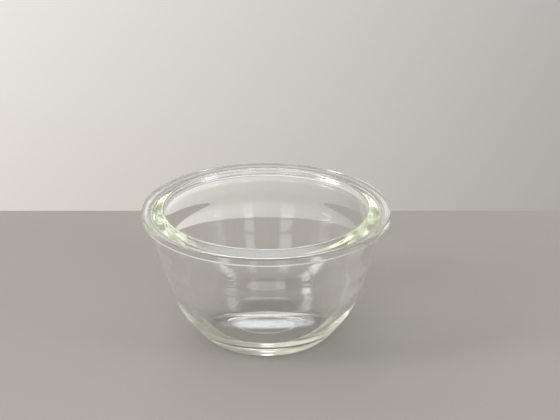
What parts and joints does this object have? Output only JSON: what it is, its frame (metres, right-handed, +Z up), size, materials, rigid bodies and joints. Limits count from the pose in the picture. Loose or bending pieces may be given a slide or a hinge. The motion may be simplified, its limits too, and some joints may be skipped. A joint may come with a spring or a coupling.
{
  "type": "mixing bowl",
  "caption": "Deep round clear glass mixing bowl, pressed in one piece, with a wide flat rim flange, a rounded inner lip, a tapering rounded wall and a flat standing ring under the base.",
  "frame": {"origin": "centre of the plane the bowl stands on, on its axis", "axes": "+Z up along the axis of revolution; +X and +Y are free, because the bowl is round"},
  "size_m": [0.185, 0.185, 0.1],
  "materials": {
    "bowl_glass": "clear pressed glass, fire-polished, with a faint yellow-green tint where the light path through it is long"
  },
  "bodies": {
    "root": {"bowl": "bowl_glass"}
  },
  "joints": []
}
